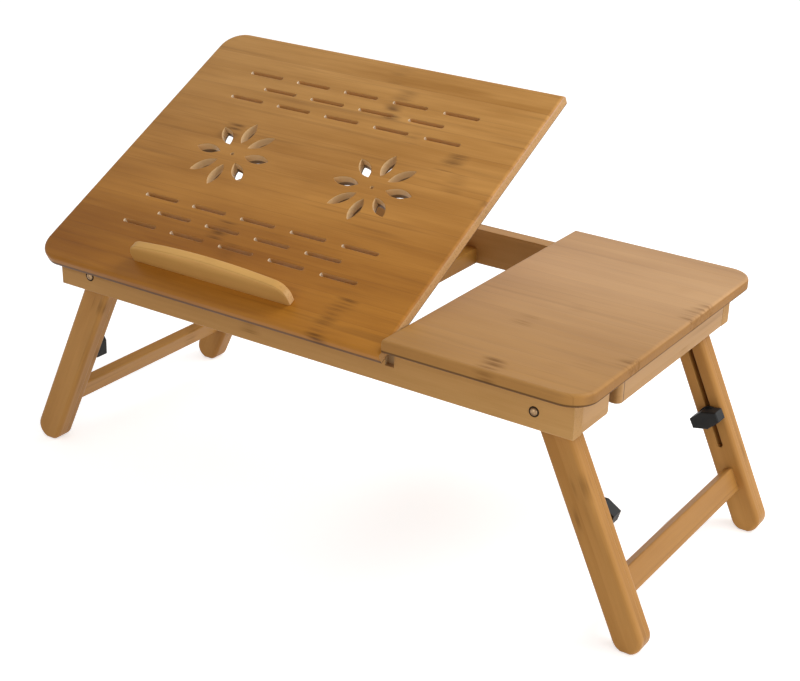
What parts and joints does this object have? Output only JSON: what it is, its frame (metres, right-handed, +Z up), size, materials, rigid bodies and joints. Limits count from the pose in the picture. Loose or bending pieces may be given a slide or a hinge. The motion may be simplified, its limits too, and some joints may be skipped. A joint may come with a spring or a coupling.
{
  "type": "folding laptop table",
  "caption": "Low folding laptop table of laminated bamboo with a tilting vented top, book ledge, fixed side top, small drawer, and splayed legs that fold and lengthen.",
  "frame": {"origin": "on the floor under the middle of the table", "axes": "+X right along the tops' length, towards the drawer; +Y towards the back; +Z up"},
  "size_m": [0.613, 0.3006, 0.337],
  "materials": {
    "top_wood": "satin lacquered bamboo strips",
    "ledge_wood": "satin lacquered bamboo",
    "rail_wood": "satin lacquered bamboo",
    "end_wood": "satin lacquered bamboo",
    "inner_wood": "lacquered bamboo",
    "drawer_wood": "lacquered bamboo",
    "leg_wood": "satin lacquered bamboo",
    "hinge_metal": "plated",
    "bolt_metal": "zinc plated",
    "knob_plastic": "moulded",
    "bumper_rubber": "moulded"
  },
  "bodies": {
    "frame": {"front_rail": "rail_wood", "back_rail": "rail_wood", "left_end_rail": "rail_wood", "right_end_block": "end_wood", "fixed_top": "top_wood", "middle_cross_rail": "inner_wood", "left_rack": "inner_wood", "hinge_left_rail_leaf": "hinge_metal", "hinge_right_rail_leaf": "hinge_metal", "hinge_left_pin": "hinge_metal", "hinge_right_pin": "hinge_metal", "leg_pivot_bolts": "bolt_metal", "leg_pivot_spacers": "bolt_metal", "leg_pivot_nuts": "bolt_metal", "drawer_guide_front": "inner_wood", "drawer_guide_back": "inner_wood", "drawer_stop_rail": "inner_wood"},
    "tilt": {"tilting_top": "top_wood", "book_ledge": "ledge_wood", "hinge_left_top_leaf": "hinge_metal", "hinge_right_top_leaf": "hinge_metal", "prop_block_left": "inner_wood", "prop_block_right": "inner_wood", "bumper_pads": "bumper_rubber"},
    "prop": {"prop_arm_left": "inner_wood", "prop_arm_right": "inner_wood", "prop_rod": "bolt_metal"},
    "right_upper_legs": {"right_front_leg_bar": "leg_wood", "right_back_leg_bar": "leg_wood", "right_clamp_bolts": "bolt_metal", "right_clamp_washers": "bolt_metal"},
    "right_lower_legs": {"right_front_leg_outer": "leg_wood", "right_front_leg_inner": "leg_wood", "right_back_leg_outer": "leg_wood", "right_back_leg_inner": "leg_wood", "right_crossbar": "leg_wood"},
    "right_front_knob": {"right_front_knob": "knob_plastic"},
    "right_back_knob": {"right_back_knob": "knob_plastic"},
    "left_upper_legs": {"left_front_leg_bar": "leg_wood", "left_back_leg_bar": "leg_wood", "left_clamp_bolts": "bolt_metal", "left_clamp_washers": "bolt_metal"},
    "left_lower_legs": {"left_front_leg_outer": "leg_wood", "left_front_leg_inner": "leg_wood", "left_back_leg_outer": "leg_wood", "left_back_leg_inner": "leg_wood", "left_crossbar": "leg_wood"},
    "left_front_knob": {"left_front_knob": "knob_plastic"},
    "left_back_knob": {"left_back_knob": "knob_plastic"},
    "drawer": {"drawer_front": "end_wood", "drawer_side_front": "drawer_wood", "drawer_side_back": "drawer_wood", "drawer_back": "drawer_wood", "drawer_bottom_board": "drawer_wood"}
  },
  "joints": [
    {"name": "tilt_hinge", "type": "hinge", "parent": "frame", "child": "tilt", "pos_m": [0, -0.123, 0.2002], "axis": [1, 0, 0], "range_deg": [-27.7, 7.3]},
    {"name": "prop_hinge", "type": "hinge", "parent": "tilt", "child": "prop", "pos_m": [0, -0.0423, 0.23579], "axis": [1, 0, 0], "range_deg": [-13.3, 50.2]},
    {"name": "right_leg_fold", "type": "hinge", "parent": "frame", "child": "right_upper_legs", "pos_m": [0.2135, 0, 0.183], "axis": [0, 1, 0], "range_deg": [0, 115.2]},
    {"name": "right_leg_length", "type": "slide", "parent": "right_upper_legs", "child": "right_lower_legs", "axis": [-0.4258, 0, 0.9048], "range_m": [-0.065, 0]},
    {"name": "right_front_knob_turn", "type": "hinge", "parent": "right_upper_legs", "child": "right_front_knob", "pos_m": [0.25353, -0.0999, 0.09793], "axis": [0, 1, 0], "continuous": true},
    {"name": "right_back_knob_turn", "type": "hinge", "parent": "right_upper_legs", "child": "right_back_knob", "pos_m": [0.25353, 0.0999, 0.09793], "axis": [0, 1, 0], "continuous": true},
    {"name": "left_leg_fold", "type": "hinge", "parent": "frame", "child": "left_upper_legs", "pos_m": [-0.2135, 0, 0.183], "axis": [0, -1, 0], "range_deg": [0, 115.2]},
    {"name": "left_leg_length", "type": "slide", "parent": "left_upper_legs", "child": "left_lower_legs", "axis": [0.4258, 0, 0.9048], "range_m": [-0.065, 0]},
    {"name": "left_front_knob_turn", "type": "hinge", "parent": "left_upper_legs", "child": "left_front_knob", "pos_m": [-0.25353, -0.0999, 0.09793], "axis": [0, 1, 0], "continuous": true},
    {"name": "left_back_knob_turn", "type": "hinge", "parent": "left_upper_legs", "child": "left_back_knob", "pos_m": [-0.25353, 0.0999, 0.09793], "axis": [0, 1, 0], "continuous": true},
    {"name": "drawer_slide", "type": "slide", "parent": "frame", "child": "drawer", "axis": [1, 0, 0], "range_m": [0, 0.11]}
  ],
  "couplings": [
    {"joint": "prop_hinge", "follows": "tilt_hinge", "ratio": -1.8105}
  ]
}
